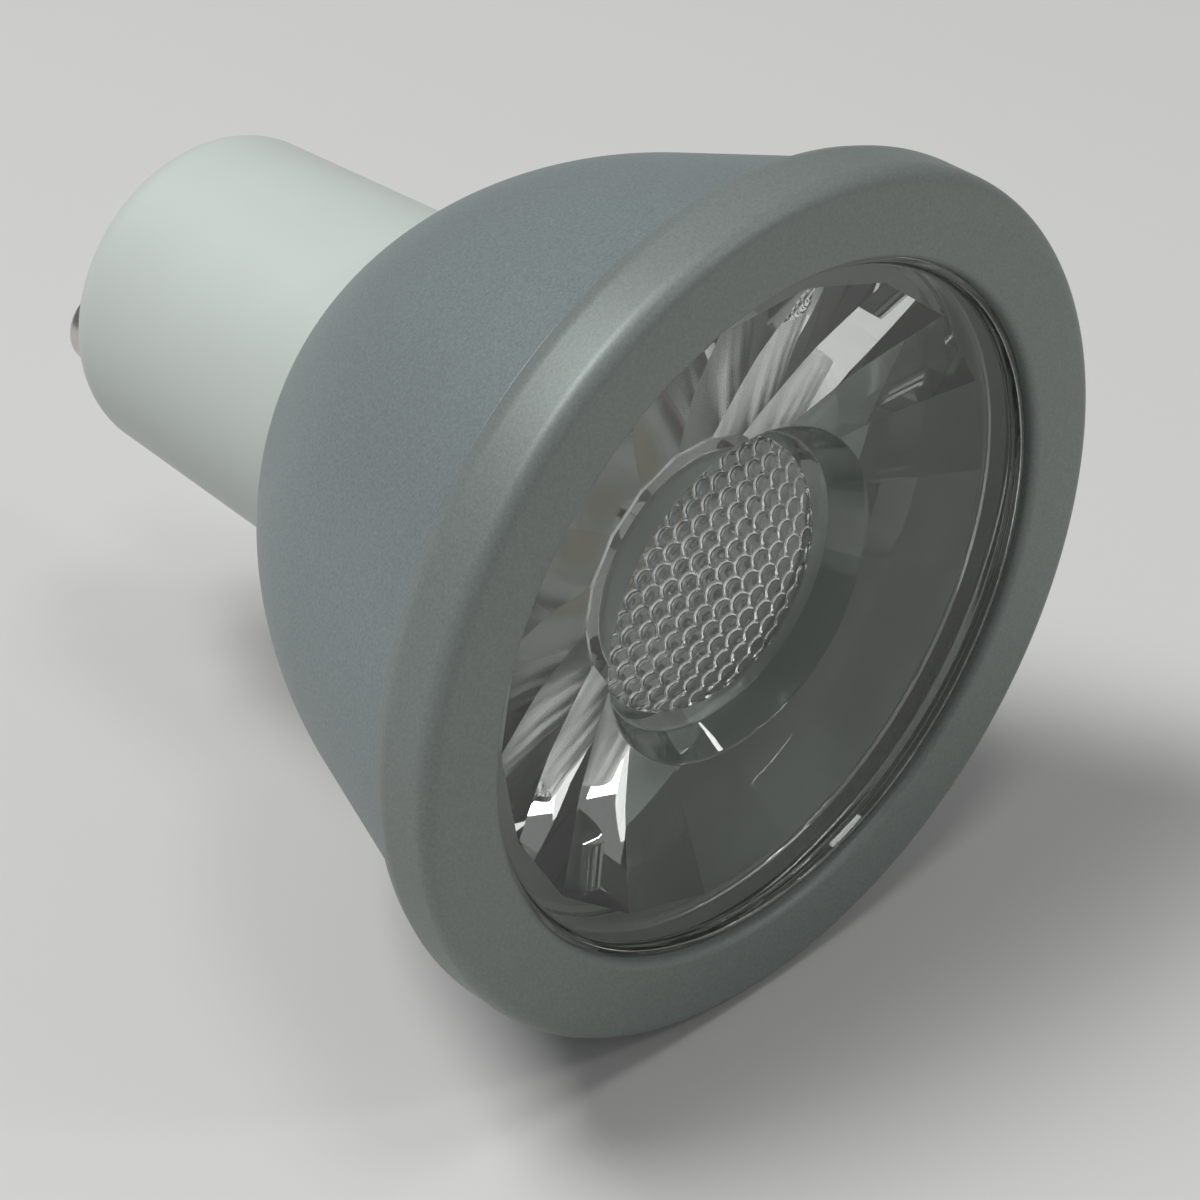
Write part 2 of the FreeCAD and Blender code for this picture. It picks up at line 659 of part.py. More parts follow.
# Capacitors, fusible resistor and the small parts, each seated on a face of the driver board; the large ones
# are spaced back from its inner end.
electrolytic_capacitor = cylinder(
    "electrolytic_capacitor", "dims.electrolytic_diameter / 2", "dims.electrolytic_length",
    "-dims.capacitor_spacing / 2 - dims.electrolytic_diameter / 2",
    f"{DRIVER_FACE} + dims.electrolytic_diameter / 2", CAPACITOR_Z,
)
BOSS_FACE = f"({SCREW_AT} - dims.screw_diameter / 2 - dims.boss_wall)"
film_capacitor = box(
    "film_capacitor",
    ("dims.film_width", f"{BOSS_FACE} - dims.film_boss_gap - {DRIVER_FACE}", "dims.film_length"),
    ("dims.capacitor_spacing / 2", DRIVER_FACE, CAPACITOR_Z),
)
fuse_resistor = cylinder(
    "fuse_resistor", "dims.fuse_diameter / 2", "dims.fuse_length",
    "-dims.fuse_length / 2", f"{DRIVER_FACE} + dims.fuse_diameter / 2", "dims.driver_start + dims.fuse_start",
    FreeCAD.Rotation(FreeCAD.Vector(0, 0, 1), FreeCAD.Vector(1, 0, 0)),
)


def on_back(label, name, x="0", start=None):
    """Return a small box-shaped part on the driver board's back face, from the sizes that carry its name."""
    return box(
        label,
        (f"dims.{name}_width", f"dims.{name}_height", f"dims.{name}_length"),
        (
            f"{x} - dims.{name}_width / 2",
            f"{DRIVER_BACK} - dims.{name}_height",
            f"dims.driver_start + {start or f'dims.{name}_start'}",
        ),
    )


bridge_rectifier = on_back("bridge_rectifier", "bridge")
driver_chip = on_back("driver_chip", "driver_chip")
output_diode = on_back("output_diode", "diode")
chip_resistors = doc.addObject("Part::Compound", "chip_resistors")
chip_resistors.Links = [
    on_back(
        f"chip_resistor_{side}_{row}", "chip_resistor", f"{sign}dims.chip_resistor_offset",
        f"dims.chip_resistor_start + {row} * dims.chip_resistor_step",
    )
    for side, sign in (("left", "-"), ("right", ""))
    for row in range(2)
]

PIECES = [
    front_ring, lens, body_shell, heat_sink_cup, *layers, cob_dam, cob_phosphor, fixing_screws,
    base_housing, *contact_pins, *input_leads, *output_leads, driver_board, transformer_core,
    transformer_winding, electrolytic_capacitor, film_capacitor, fuse_resistor, bridge_rectifier,
    driver_chip, output_diode, chip_resistors,
]

doc.recompute()
for item in doc.Objects:
    if "Invalid" in item.State or "Error" in item.State:
        raise RuntimeError(f"{item.Label} did not build: {item.State}")
os.makedirs("parts", exist_ok=True)
for piece in PIECES:
    if piece.Shape.isNull() or not piece.Shape.isValid():
        raise RuntimeError(f"{piece.Label} has no valid shape")
    piece.Shape.exportStep(f"parts/{piece.Label}.step")
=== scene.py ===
"""GU10 spotlight bulb: the looks of the lamp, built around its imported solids.

The beam runs along -Y and +Z is up. Lamp sizes below are in millimetres, heights along the beam from the flat
end of the white base; a mesh is put into metres and into the row frame as it is made.
"""
import bmesh
import bpy
import numpy as np
from mathutils import Matrix, Vector


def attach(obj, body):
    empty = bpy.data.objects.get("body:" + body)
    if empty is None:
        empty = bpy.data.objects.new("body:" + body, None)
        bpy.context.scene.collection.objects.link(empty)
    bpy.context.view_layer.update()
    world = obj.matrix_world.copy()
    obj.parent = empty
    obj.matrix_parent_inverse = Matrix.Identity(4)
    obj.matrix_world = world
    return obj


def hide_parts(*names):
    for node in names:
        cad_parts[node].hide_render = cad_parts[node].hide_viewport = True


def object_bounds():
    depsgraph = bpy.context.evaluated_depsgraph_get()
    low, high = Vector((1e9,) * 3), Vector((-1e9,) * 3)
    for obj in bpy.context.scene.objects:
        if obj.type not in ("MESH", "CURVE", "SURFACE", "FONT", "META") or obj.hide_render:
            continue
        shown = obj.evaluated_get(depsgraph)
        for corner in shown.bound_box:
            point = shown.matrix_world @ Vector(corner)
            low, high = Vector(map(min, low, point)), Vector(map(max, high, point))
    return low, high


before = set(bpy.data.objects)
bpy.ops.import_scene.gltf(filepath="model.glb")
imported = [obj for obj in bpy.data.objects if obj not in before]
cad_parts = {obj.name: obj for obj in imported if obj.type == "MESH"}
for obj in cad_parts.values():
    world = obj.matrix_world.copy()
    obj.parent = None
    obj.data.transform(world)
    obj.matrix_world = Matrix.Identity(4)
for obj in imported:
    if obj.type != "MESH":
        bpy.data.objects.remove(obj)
cad_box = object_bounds()

# White base: the moulded cap that the pins stand out of, in matt white heat-resistant plastic. It is pushed
# through the bowl's back and held by two screws from inside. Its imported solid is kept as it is.
BASE_WHITE = (0.555, 0.605, 0.57)
GRAIN_DEPTH = 0.00002
NOISE_MEAN = 0.5
VECTOR = "NodeSocketVector"
COLOUR = "NodeSocketColor"
NUMBER = "NodeSocketFloat"


def shader(name):
    """A new material, its node tree, its Principled shader and its Object coordinates."""
    material = bpy.data.materials.new(name)
    material.use_nodes = True
    tree = material.node_tree
    place = tree.nodes.new("ShaderNodeTexCoord").outputs["Object"]
    return material, tree, tree.nodes["Principled BSDF"], place


def add_node(tree, kind, feeds, **settings):
    """A new node with its settings, each fed input either linked to a socket or set to a value."""
    node = tree.nodes.new(kind)
    for setting, value in settings.items():
        setattr(node, setting, value)
    for key, feed in feeds.items():
        if isinstance(feed, bpy.types.NodeSocket):
            tree.links.new(feed, node.inputs[key])
        else:
            node.inputs[key].default_value = feed
    return node


def reckon(tree, operation, *feeds):
    """The result of a Math node on its feeds, taken in order."""
    return add_node(tree, "ShaderNodeMath", dict(enumerate(feeds)), operation=operation).outputs[0]


def node_group(name, inputs, outputs):
    """A new node group with named sockets of the given kinds, what goes into it and what it puts out."""
    group = bpy.data.node_groups.new(name, "ShaderNodeTree")
    for in_out, sockets in (("INPUT", inputs), ("OUTPUT", outputs)):
        for socket, kind in sockets.items():
            group.interface.new_socket(socket, in_out=in_out, socket_type=kind)
    return group, group.nodes.new("NodeGroupInput").outputs, group.nodes.new("NodeGroupOutput").inputs


def finish_group():
    """Moulded finish: mottle in colour and gloss from wide noise, flecks and a grain height from tight noise.

    Colour = Colour x (1 + Mottle x (wide noise - 0.5) + Fleck x (tight noise - 0.5));
    Roughness = Roughness + Mottle x (wide noise - 0.5); Height = tight noise.
    """
    group, given, result = node_group(
        "moulded_finish",
        {
            "Place": VECTOR, "Colour": COLOUR, "Roughness": NUMBER, "Mottle": NUMBER, "Mottle Scale": NUMBER,
            "Grain Scale": NUMBER, "Fleck": NUMBER,
        },
        {"Colour": COLOUR, "Roughness": NUMBER, "Height": NUMBER},
    )
    wide = add_node(
        group, "ShaderNodeTexNoise", {"Vector": given["Place"], "Scale": given["Mottle Scale"], "Detail": 4},
    ).outputs[0]
    tight = add_node(
        group, "ShaderNodeTexNoise", {"Vector": given["Place"], "Scale": given["Grain Scale"], "Detail": 2},
    ).outputs[0]
    mottle = reckon(group, "MULTIPLY", reckon(group, "SUBTRACT", wide, NOISE_MEAN), given["Mottle"])
    speck = reckon(group, "SUBTRACT", tight, NOISE_MEAN)
    gain = reckon(group, "ADD", mottle, reckon(group, "MULTIPLY_ADD", speck, given["Fleck"], 1))
    tinted = add_node(group, "ShaderNodeVectorMath", {0: given["Colour"], "Scale": gain}, operation="SCALE")
    group.links.new(tinted.outputs[0], result["Colour"])
    group.links.new(reckon(group, "ADD", given["Roughness"], mottle), result["Roughness"])
    group.links.new(tight, result["Height"])
    return group


moulded_finish = finish_group()


def finished(
    name, colour, roughness, mottle=0.12, mottle_scale=180, grain=2500, bump=0.05, metallic=0.0, fleck=0.0,
):
    """A material with the moulded finish: mottle in colour and gloss, flecks, and grain as a shallow bump."""
    material, tree, surface, place = shader(name)
    finish = add_node(tree, "ShaderNodeGroup", {
        "Place": place, "Colour": (*colour, 1), "Roughness": roughness, "Mottle": mottle,
        "Mottle Scale": mottle_scale, "Grain Scale": grain, "Fleck": fleck,
    }, node_tree=moulded_finish)
    relief = add_node(tree, "ShaderNodeBump", {
        "Strength": bump, "Distance": GRAIN_DEPTH, "Height": finish.outputs["Height"],
    })
    tree.links.new(finish.outputs["Colour"], surface.inputs["Base Color"])
    tree.links.new(finish.outputs["Roughness"], surface.inputs["Roughness"])
    tree.links.new(relief.outputs["Normal"], surface.inputs["Normal"])
    surface.inputs["Metallic"].default_value = metallic
    return material


def dress(finishes):
    """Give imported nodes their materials, one each all over."""
    for name, material in finishes.items():
        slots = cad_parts[name].data.materials
        slots.clear()
        slots.append(material)


dress({"base_housing": finished("white_base", BASE_WHITE, 0.5, mottle=0.06, grain=3500, bump=0.25)})

# Contact pins: two turned brass pins with a dull nickel plate, each riveted through the base's floor. The
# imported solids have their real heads, necks and rounded ends and are kept.
NICKEL = (0.62, 0.60, 0.56)
pin_plate = finished("pin_plating", NICKEL, 0.28, mottle=0.2, mottle_scale=600, grain=6000, metallic=1)
dress(dict.fromkeys(("contact_pin_left", "contact_pin_right"), pin_plate))

# Driver: a green fibre board slid into the base's grooves, with its transformer, capacitors, fusible resistor
# and small moulded parts soldered on, and the leads that join it to the pins and to the light source.
CHIPS = ("bridge_rectifier", "driver_chip", "output_diode", "chip_resistors")
INPUT_LEADS = ("input_lead_left", "input_lead_right")
dress({
    "driver_board": finished("driver_board_green", (0.05, 0.22, 0.09), 0.35, mottle=0.3, mottle_scale=900),
    "transformer_core": finished("ferrite", (0.05, 0.05, 0.055), 0.6, mottle=0.3, mottle_scale=900),
    "transformer_winding": finished(
        "copper_winding", (0.6, 0.28, 0.12), 0.3, grain=4000, bump=0.6, metallic=1),
    "electrolytic_capacitor": finished("capacitor_sleeve", (0.02, 0.02, 0.025), 0.3, mottle=0.2),
    "film_capacitor": finished("film_red", (0.45, 0.07, 0.04), 0.25, mottle=0.15),
    "fuse_resistor": finished("resistor_blue", (0.15, 0.28, 0.42), 0.3, mottle=0.15),
    **dict.fromkeys(CHIPS, finished("chip_black", (0.02, 0.02, 0.02), 0.55, mottle=0.2, bump=0.3)),
    **dict.fromkeys(INPUT_LEADS, finished("lead_white", (0.75, 0.75, 0.73), 0.4)),
    "output_lead_left": finished("lead_black", (0.02, 0.02, 0.02), 0.4),
    "output_lead_right": finished("lead_red", (0.26, 0.12, 0.1), 0.4),
})

# Bowl: a moulded shell with fine blue-grey metallic paint. A cone at the front runs smoothly into a rounded
# back, which closes on the white base; a fine groove parts its front edge from the ring.
MILLIMETRE = 0.001
BOWL_GREY = (0.222, 0.262, 0.266)
BOWL_FRONT = 44.0
FRONT_EDGE = (24.0, BOWL_FRONT)
GROOVE_RADIUS = 23.6
SEAM_EDGE = (23.78, 43.36)
SEAM_ROUND = 0.06
KNEE = (20.05, 32.5)
BACK_EDGE = (11.1, 19.8)
BACK_STEPS = 36
BACK_HOLE_RADIUS = 10.0
INNER_CORNER = (11.96, 22.6)
INNER_CORNER_ROUND = 0.4
INNER_KNEE = (17.85, 32.5)
LEDGE = (21.3, 42.2)
REBATE_RADIUS = 22.5
BOWL_COLUMNS = 240


def swept(centre, start, end, steps):
    """Arc about a centre from start to end: centre + s cos(t) + s' sin(t), with s' square to s."""
    first = start - centre
    last = end - centre
    sweep = np.arctan2(first[0] * last[1] - first[1] * last[0], first @ last)
    turn = np.linspace(0, sweep, steps + 1)[:, None]
    return centre + np.cos(turn) * first + np.sin(turn) * np.array([-first[1], first[0]])


def eased(corners, steps=6):
    """Outline through (radius, height, easing) corners, each one with an easing turned into a tangent arc.

    The arc of radius e at corner P between unit runs u and v starts e / tan(half angle) along u, ends as far
    along v, and has its centre on the bisector at e / sin(half angle).
    """
    points = np.array([corner[:2] for corner in corners], float)
    easings = [corner[2] for corner in corners]
    befores = np.roll(points, 1, axis=0) - points
    afters = np.roll(points, -1, axis=0) - points
    outline = []
    for here, before, after, easing in zip(points, befores, afters, easings):
        if not easing:
            outline.append(here[None])
            continue
        before = before / np.linalg.norm(before)
        after = after / np.linalg.norm(after)
        half = np.arccos(np.clip(before @ after, -1, 1)) / 2
        bisector = (before + after) / np.linalg.norm(before + after)
        centre = here + bisector * easing / np.sin(half)
        reach = easing / np.tan(half)
        outline.append(swept(centre, here + before * reach, here + after * reach, steps))
    return np.concatenate(outline)


def arc_on(before, start, end, steps):
    """Arc from start to end that carries straight on from the run before it: centre on start's normal."""
    before, start, end = (np.array(point, float) for point in (before, start, end))
    run = (start - before) / np.linalg.norm(start - before)
    normal = np.array([-run[1], run[0]])
    chord = end - start
    centre = start + normal * (chord @ chord) / (2 * chord @ normal)
    return swept(centre, start, end, steps)[1:]


def about_beam(reach, height):
    """Rings about the beam, one column for each angle a: (reach cos a, -height, reach sin a)."""
    angle = np.linspace(0, 2 * np.pi, reach.shape[1], endpoint=False)
    return np.stack([
        reach * np.cos(angle), np.broadcast_to(-height, reach.shape), reach * np.sin(angle),
    ], axis=-1)


def turned(outline, columns):
    """Surface of revolution: an outline of (radius, height) points carried round the beam."""
    radius, height = np.asarray(outline, float).T[:, :, None]
    return about_beam(np.repeat(radius, columns, axis=1), height)


def grid_faces(rows, columns):
    """Quads of a grid that wraps round both ways."""
    row = np.arange(rows)[:, None]
    column = np.arange(columns)[None]
    after = (row + 1) % rows
    beside = (column + 1) % columns
    corners = np.broadcast_arrays(
        row * columns + column, row * columns + beside, after * columns + beside, after * columns + column)
    return np.stack(corners, axis=-1).reshape(-1, 4)


def piece(name, grid, material, nodes, crease=30):
    """A mesh object from a grid of points in millimetres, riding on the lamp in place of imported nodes.

    Points that fall together at a pole are merged, faces are turned outwards and edges that bend by more than
    the crease angle stay sharp.
    """
    mesh = bpy.data.meshes.new(name)
    rows, columns = grid.shape[:2]
    mesh.from_pydata((grid.reshape(-1, 3) * MILLIMETRE).tolist(), [], grid_faces(rows, columns).tolist())
    shape = bmesh.new()
    shape.from_mesh(mesh)
    bmesh.ops.remove_doubles(shape, verts=shape.verts, dist=1e-8)
    loose = [edge for edge in shape.edges if not edge.link_faces]
    bmesh.ops.delete(shape, geom=loose, context="EDGES")
    bmesh.ops.recalc_face_normals(shape, faces=shape.faces)
    shape.to_mesh(mesh)
    shape.free()
    mesh.shade_smooth()
    mesh.set_sharp_from_angle(angle=np.radians(crease))
    mesh.materials.append(material)
    item = bpy.data.objects.new(name, mesh)
    bpy.context.scene.collection.objects.link(item)
    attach(item, "root")
    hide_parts(*nodes)
    return item


bowl_outline = np.concatenate([
    eased([
        (REBATE_RADIUS, BOWL_FRONT, 0), (GROOVE_RADIUS, BOWL_FRONT, 0), (GROOVE_RADIUS, SEAM_EDGE[1], 0),
        (*SEAM_EDGE, SEAM_ROUND), (*KNEE, 0),
    ]),
    arc_on(FRONT_EDGE, KNEE, BACK_EDGE, BACK_STEPS),
    eased([
        (BACK_HOLE_RADIUS, BACK_EDGE[1], 0), (BACK_HOLE_RADIUS, INNER_CORNER[1], 0),
        (*INNER_CORNER, INNER_CORNER_ROUND), (*INNER_KNEE, 0), (*LEDGE, 0), (REBATE_RADIUS, LEDGE[1], 0),
    ]),
])
bowl_paint = finished(
    "shell_paint", BOWL_GREY, 0.46, mottle=0.1, mottle_scale=90, grain=6500, bump=0.25, metallic=0.25,
    fleck=0.7)
piece("painted_bowl", turned(bowl_outline, BOWL_COLUMNS), bowl_paint, ["body_shell"])

# Cup and light source: a drawn aluminium cup hung on the bowl's ledge, with the round board, its phosphor
# disc, silicone dam and two screws on the cup's floor. They show only through the lens.
dress({
    "heat_sink_cup": finished(
        "bare_aluminium", (0.51, 0.55, 0.52), 0.38, mottle=0.2, mottle_scale=300, metallic=1),
    "thermal_pad": finished("pad_grey", (0.35, 0.36, 0.38), 0.7),
    "cob_board": finished("led_board_white", (0.88, 0.9, 0.87), 0.4),
    "cob_dam": finished("dam_silicone", (0.88, 0.89, 0.86), 0.3),
    "cob_phosphor": finished("phosphor_yellow", (0.6, 0.55, 0.43), 0.45, mottle=0.2, mottle_scale=900),
    "fixing_screws": finished("screw_steel", (0.5, 0.5, 0.5), 0.35, mottle=0.2, mottle_scale=900, metallic=1),
})

# Lens: one clear acrylic moulding, held by the ring's lip on its flange. Its front is dished down to a round
# well with a smooth dome on the floor. Behind, a cone of eighteen facets gathers the light, and beads hang
# from the roof of the cavity over the source.
FACETS = 18
FACET_COLUMNS = 30
LENS_COLUMNS = FACETS * FACET_COLUMNS
PIN_ROLL = 40
LENS_BACK = 35.2
FLANGE_BACK = 45.3
FLANGE_FRONT = 46.9
CONE_SECTIONS = ((8.6, LENS_BACK), (14.0, 40.0), (18.4, FLANGE_BACK))
FOOT_INSIDE = 20.2
FOOT_OUTSIDE = 21.3
FOOT_BACK = 43.0
FOOT_ROUND = 0.15
LIP_OUTSIDE = 20.04
LIP_INSIDE = 19.72
LIP_FRONT = 47.5
LIP_ROUND = 0.1
DISH_EDGE = (19.53, 46.98)
DISH_EDGE_ROUND = 0.35
WELL_RIM = (9.75, 45.2)
WELL_RIM_ROUND = 0.3
WELL_FLOOR = (8.7, 43.3)
WELL_FLOOR_ROUND = 0.1
DOME_HEIGHT = 2.1
DOME_STEPS = 24
DOME_SLOPE = (7.8, 43.75)
CAVITY_RADIUS = 7.7
CAVITY_ROOF = (7.35, 40.7)
CAVITY_MOUTH = 8.5
CAVITY_MOUTH_ROUND = 0.1
ROOF_RINGS = 90
BEAD_PITCH = 1.13
BEAD_RADIUS = 0.75
BEAD_TURN = -8
BEAD_FADE = 0.15
BEAD_ROOM = 1
ACRYLIC_TINT = (0.94, 0.97, 0.945)
SMEAR_HAZE = 0.03
WALL_FROST = 0.25
WALL_MARGIN = 0.1


def facet_cone():
    """Faceted cone: flat panels between (radius, height) sections, each a regular polygon of eighteen sides.

    At angle a a section's radius is R cos(s/2) / cos(a mod s - s/2), with s the angle of one side.
    """
    radius, height = np.array(CONE_SECTIONS, float).T[:, :, None]
    side = 2 * np.pi / FACETS
    angle = np.linspace(0, 2 * np.pi, LENS_COLUMNS, endpoint=False)
    polygon = np.cos(side / 2) / np.cos((angle - np.radians(PIN_ROLL)) % side - side / 2)
    return about_beam(radius * polygon, height)


def smooth_dome():
    """Outline of the dome on the well's floor, a sphere cap from its rim up to the middle."""
    rim, floor = WELL_FLOOR
    ball = (rim**2 + DOME_HEIGHT**2) / (2 * DOME_HEIGHT)
    radius = np.linspace(rim, 0, DOME_STEPS + 1)
    return np.stack([radius, floor + np.sqrt(ball**2 - radius**2) - (ball - DOME_HEIGHT)], axis=1)


def beaded_roof():
    """Roof of the cavity: a flat disc less, at each point, a sphere cap hanging about its nearest bead.

    Beads stand on a hexagonal lattice, taken as two rectangular ones half a step apart, and fade at the edge.
    """
    edge, roof = CAVITY_ROOF
    radius = np.linspace(0, edge, ROOF_RINGS + 1)
    grid = turned(np.stack([radius, np.full_like(radius, roof)], axis=1), LENS_COLUMNS)
    x, z = grid[..., 0], grid[..., 2]
    turn = np.radians(BEAD_TURN)
    spot = np.stack([x * np.cos(turn) + z * np.sin(turn), z * np.cos(turn) - x * np.sin(turn)], axis=-1)
    step = np.array([BEAD_PITCH, BEAD_PITCH * np.sqrt(3)])
    from_corners = spot - step * np.round(spot / step)
    from_middles = spot - step * (np.floor(spot / step) + 0.5)
    nearest = np.minimum((from_corners**2).sum(axis=-1), (from_middles**2).sum(axis=-1))
    bead = np.sqrt(BEAD_RADIUS**2 - nearest) - np.sqrt(BEAD_RADIUS**2 - BEAD_PITCH**2 / 3)
    grid[..., 1] += bead * np.clip((edge - radius) / BEAD_FADE, 0, 1)[:, None]
    return grid


def inner_mask_group():
    """What lies inside a radius about the beam and behind a height, both in metres.

    Reach = sqrt(x^2 + z^2); Mask = 1 where Reach < Radius and -y < Height, and 0 elsewhere.
    """
    group, given, result = node_group(
        "inner_mask",
        {"Place": VECTOR, "Radius": NUMBER, "Height": NUMBER},
        {"Reach": NUMBER, "Mask": NUMBER},
    )
    across = add_node(group, "ShaderNodeVectorMath", {0: given["Place"], 1: (1, 0, 1)}, operation="MULTIPLY")
    reach = add_node(group, "ShaderNodeVectorMath", {0: across.outputs[0]}, operation="LENGTH")
    beam = add_node(group, "ShaderNodeSeparateXYZ", {0: given["Place"]})
    height = reckon(group, "MULTIPLY", beam.outputs["Y"], -1)
    within = reckon(group, "LESS_THAN", reach.outputs["Value"], given["Radius"])
    behind = reckon(group, "LESS_THAN", height, given["Height"])
    group.links.new(reach.outputs["Value"], result["Reach"])
    group.links.new(reckon(group, "MULTIPLY", within, behind), result["Mask"])
    return group


inner_mask = inner_mask_group()


def soften(item, radius, height):
    """Take the creases off every edge inside a radius and above a height, both in millimetres."""
    mesh = item.data
    place = np.empty(len(mesh.vertices) * 3)
    mesh.vertices.foreach_get("co", place)
    place = place.reshape(-1, 3) / MILLIMETRE
    inside = (np.hypot(place[:, 0], place[:, 2]) < radius) & (-place[:, 1] > height)
    ends = np.empty(len(mesh.edges) * 2, int)
    mesh.edges.foreach_get("vertices", ends)
    sharp = np.empty(len(mesh.edges), bool)
    creases = mesh.attributes["sharp_edge"].data
    creases.foreach_get("value", sharp)
    sharp &= ~inside[ends.reshape(-1, 2)].any(axis=1)
    creases.foreach_set("value", sharp)


lens_front = eased([
    (FOOT_INSIDE, FLANGE_BACK, 0), (FOOT_INSIDE, FOOT_BACK, FOOT_ROUND),
    (FOOT_OUTSIDE, FOOT_BACK, FOOT_ROUND), (FOOT_OUTSIDE, FLANGE_FRONT, 0),
    (LIP_OUTSIDE, FLANGE_FRONT, 0), (LIP_OUTSIDE, LIP_FRONT, LIP_ROUND), (LIP_INSIDE, LIP_FRONT, LIP_ROUND),
    (*DISH_EDGE, DISH_EDGE_ROUND), (*WELL_RIM, WELL_RIM_ROUND), (*WELL_FLOOR, WELL_FLOOR_ROUND),
    (*DOME_SLOPE, 0),
])[:-1]
lens_tail = eased([
    (*CAVITY_ROOF, 0), (CAVITY_RADIUS, LENS_BACK, CAVITY_MOUTH_ROUND), (CAVITY_MOUTH, LENS_BACK, 0),
])[1:]
lens_grid = np.concatenate([
    turned(lens_front, LENS_COLUMNS),
    turned(smooth_dome()[1:], LENS_COLUMNS),
    beaded_roof(),
    turned(lens_tail, LENS_COLUMNS),
    facet_cone(),
])

acrylic, tree, surface, place = shader("clear_lens")
smear = add_node(tree, "ShaderNodeTexNoise", {"Vector": place, "Scale": 140, "Detail": 5})
haze = add_node(tree, "ShaderNodeMapRange", {
    "Value": smear.outputs[0], "From Min": 0.4, "From Max": 0.8, "To Min": 0, "To Max": SMEAR_HAZE,
})
cavity = add_node(tree, "ShaderNodeGroup", {
    "Place": place,
    "Radius": MILLIMETRE * (CAVITY_RADIUS + WALL_MARGIN),
    "Height": MILLIMETRE * (CAVITY_ROOF[1] + WALL_MARGIN),
}, node_tree=inner_mask)
wall = add_node(tree, "ShaderNodeMapRange", {
    "Value": cavity.outputs["Reach"],
    "From Min": MILLIMETRE * (CAVITY_ROOF[0] - WALL_MARGIN),
    "From Max": MILLIMETRE * CAVITY_ROOF[0],
    "To Min": 0,
    "To Max": WALL_FROST,
})
rough = reckon(
    tree, "MULTIPLY_ADD", cavity.outputs["Mask"], wall.outputs["Result"], haze.outputs["Result"])
tree.links.new(rough, surface.inputs["Roughness"])
surface.inputs["Base Color"].default_value = (*ACRYLIC_TINT, 1)
surface.inputs["Transmission Weight"].default_value = 0.98
surface.inputs["IOR"].default_value = 1.49
clear_lens = piece("clear_lens", lens_grid, acrylic, ["lens"], crease=12)
soften(clear_lens, CAVITY_ROOF[0] - WALL_MARGIN, CAVITY_ROOF[1] - BEAD_ROOM)

# Front ring: a moulded ring in warm grey satin plastic, pressed into the bowl over the lens. Its front edge
# is a soft round, its opening has a small one, and its back edge is eased where it meets the bowl. Its bore,
# behind the lip, is painted pale: painted light that stands in for the light the lens flange carries onto
# the shaded bore.
RING_GREY = (0.203, 0.231, 0.219)
# Pale grey painted on the shaded bore as painted light.
BORE_PAINTED_LIGHT = (0.62, 0.63, 0.61)
RING_FRONT = 48.2
RING_RADIUS = 25.0
FRONT_ROUND = 1.0
OPENING_RADIUS = 20.1
OPENING_ROUND = 0.5
SIDE_BACK = 44.9
SIDE_ROUND = 1.5
RING_BACK = (24.65, 44.0)
RING_BACK_ROUND = 0.2
SKIRT_OUTSIDE = 22.4
SKIRT_INSIDE = 21.5
SKIRT_BACK = 43.0
RING_LIP_BACK = 46.9
RING_COLUMNS = 320
BORE_MARGIN = (0.1, 0.05)
ring_outline = eased([
    (OPENING_RADIUS, RING_FRONT, OPENING_ROUND), (RING_RADIUS, RING_FRONT, FRONT_ROUND),
    (RING_RADIUS, SIDE_BACK, SIDE_ROUND), (*RING_BACK, RING_BACK_ROUND), (SKIRT_OUTSIDE, RING_BACK[1], 0),
    (SKIRT_OUTSIDE, SKIRT_BACK, 0), (SKIRT_INSIDE, SKIRT_BACK, 0), (SKIRT_INSIDE, RING_LIP_BACK, 0),
    (OPENING_RADIUS, RING_LIP_BACK, 0),
], steps=12)
ring_paint = finished(
    "ring_grey", RING_GREY, 0.46, mottle=0.08, mottle_scale=90, grain=6500, bump=0.25, metallic=0.2,
    fleck=0.5)
tree = ring_paint.node_tree
# Painted light: inside the bore behind the lip, the ring's grey gives way to a pale grey that stands in for
# light on the shaded bore.
bore = add_node(tree, "ShaderNodeGroup", {
    "Place": tree.nodes["Texture Coordinate"].outputs["Object"],
    "Radius": MILLIMETRE * (SKIRT_INSIDE + BORE_MARGIN[0]),
    "Height": MILLIMETRE * (RING_LIP_BACK + BORE_MARGIN[1]),
}, node_tree=inner_mask)
ring_colour = tree.nodes["Principled BSDF"].inputs["Base Color"]
lit_bore = add_node(tree, "ShaderNodeMix", {
    "Factor": bore.outputs["Mask"], "A": ring_colour.links[0].from_socket, "B": (*BORE_PAINTED_LIGHT, 1),
}, data_type="RGBA")
tree.links.new(lit_bore.outputs["Result"], ring_colour)
piece("front_ring_moulding", turned(ring_outline, RING_COLUMNS), ring_paint, ["front_ring"])

# Stage: a pale matt floor, one plain square. It lies just under the ring, whose edge the lamp lies on, and it
# isn't part of the lamp.
FLOOR_PALE = (0.64, 0.64, 0.63)
FLOOR_HALF = 1.5
FLOOR_GAP = 0.0002
floor_level = cad_box[0].z - FLOOR_GAP
floor_mesh = bpy.data.meshes.new("floor")
floor_mesh.from_pydata(
    [(x * FLOOR_HALF, y * FLOOR_HALF, floor_level) for x, y in ((-1, -1), (1, -1), (1, 1), (-1, 1))],
    [], [(0, 1, 2, 3)])
floor_mesh.materials.append(finished("pale_floor", FLOOR_PALE, 0.8, mottle=0.02, mottle_scale=12))
floor = bpy.data.objects.new("floor", floor_mesh)
bpy.context.scene.collection.objects.link(floor)

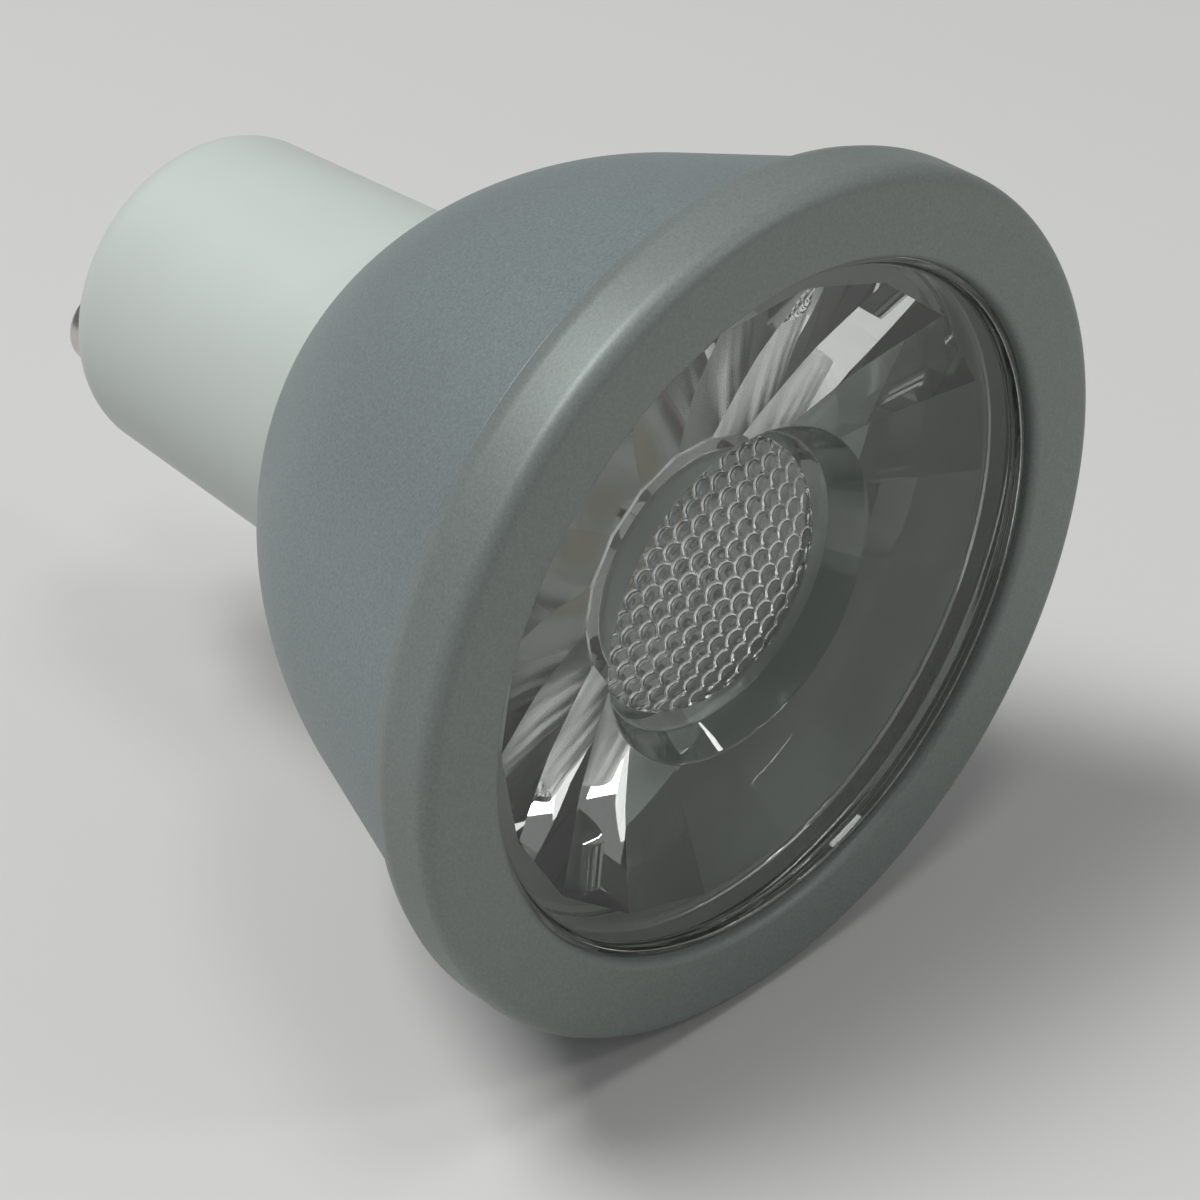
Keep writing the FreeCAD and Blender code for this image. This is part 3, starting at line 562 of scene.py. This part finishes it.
# Camera: the photograph's viewpoint, with the ring's front centre a little right of and below the middle of
# the picture. The lights are placed in its axes too.
AZIMUTH = np.radians(-44.36)
ELEVATION = np.radians(35.74)
FOCAL_LENGTH = 112.11
SENSOR_WIDTH = 36
CLIP_START = 0.01
RING_CENTRE_SEEN = (9.547, -1.119, -194.435)
right = Vector((np.cos(AZIMUTH), np.sin(AZIMUTH), 0))
back = Vector((np.sin(AZIMUTH) * np.cos(ELEVATION), -np.cos(AZIMUTH) * np.cos(ELEVATION), np.sin(ELEVATION)))
up = back.cross(right)
ring_centre = Vector((0, cad_box[0].y, 0))


def in_view(rightward, upward, backward):
    """Vector of the given amounts along the camera's own axes."""
    return right * rightward + up * upward + back * backward


camera_data = bpy.data.cameras.new("camera")
camera_data.lens = FOCAL_LENGTH
camera_data.sensor_width = SENSOR_WIDTH
camera_data.clip_start = CLIP_START
camera = bpy.data.objects.new("camera", camera_data)
stand = Matrix.Translation(ring_centre - in_view(*RING_CENTRE_SEEN) * MILLIMETRE)
camera.matrix_world = stand @ Matrix((right, up, back)).transposed().to_4x4()
bpy.context.scene.collection.objects.link(camera)
bpy.context.scene.camera = camera

# Light: a soft key from the upper left, a broad weak one from the right, three small ones whose glints show
# in the clear lens, and an even grey room. Directions are in the camera's axes, the rest in metres and watts.
LIGHTS = {
    "key": {"toward": (-0.42, 0.71, 0.57), "distance": 0.7, "size": 0.26, "power": 3.65},
    "facet_glint": {"toward": (0.704, 0.398, 0.575), "distance": 0.6, "size": 0.06, "power": 0.22},
    "lip_glint": {"toward": (0.15, 0.71, 0.69), "distance": 0.6, "size": 0.13, "power": 0.42},
    "well_glint": {"toward": (0.7, 0.7, 0.1), "distance": 0.6, "size": 0.03, "power": 0.05},
    "side": {"toward": (0.9, 0.2, 0.38), "distance": 0.6, "size": 0.36, "power": 0.34},
}
ROOM_LIGHT = 0.17
MIDDLE_SHARE = 0.6
lamp_middle = ring_centre * MIDDLE_SHARE


def soft_light(name, toward, distance, size, power):
    """A square area light that looks at the lamp's middle from a direction given in the camera's axes."""
    light = bpy.data.lights.new(name, "AREA")
    light.size = size
    light.energy = power
    item = bpy.data.objects.new(name, light)
    away = in_view(*toward).normalized()
    item.location = lamp_middle + away * distance
    item.rotation_euler = away.to_track_quat("Z", "Y").to_euler()
    bpy.context.scene.collection.objects.link(item)


for name, setting in LIGHTS.items():
    soft_light(name, **setting)
world = bpy.data.worlds.new("room")
world.use_nodes = True
background = world.node_tree.nodes["Background"].inputs
background["Color"].default_value = (1, 1, 1, 1)
background["Strength"].default_value = ROOM_LIGHT
bpy.context.scene.world = world
bpy.context.scene.view_settings.view_transform = "Standard"
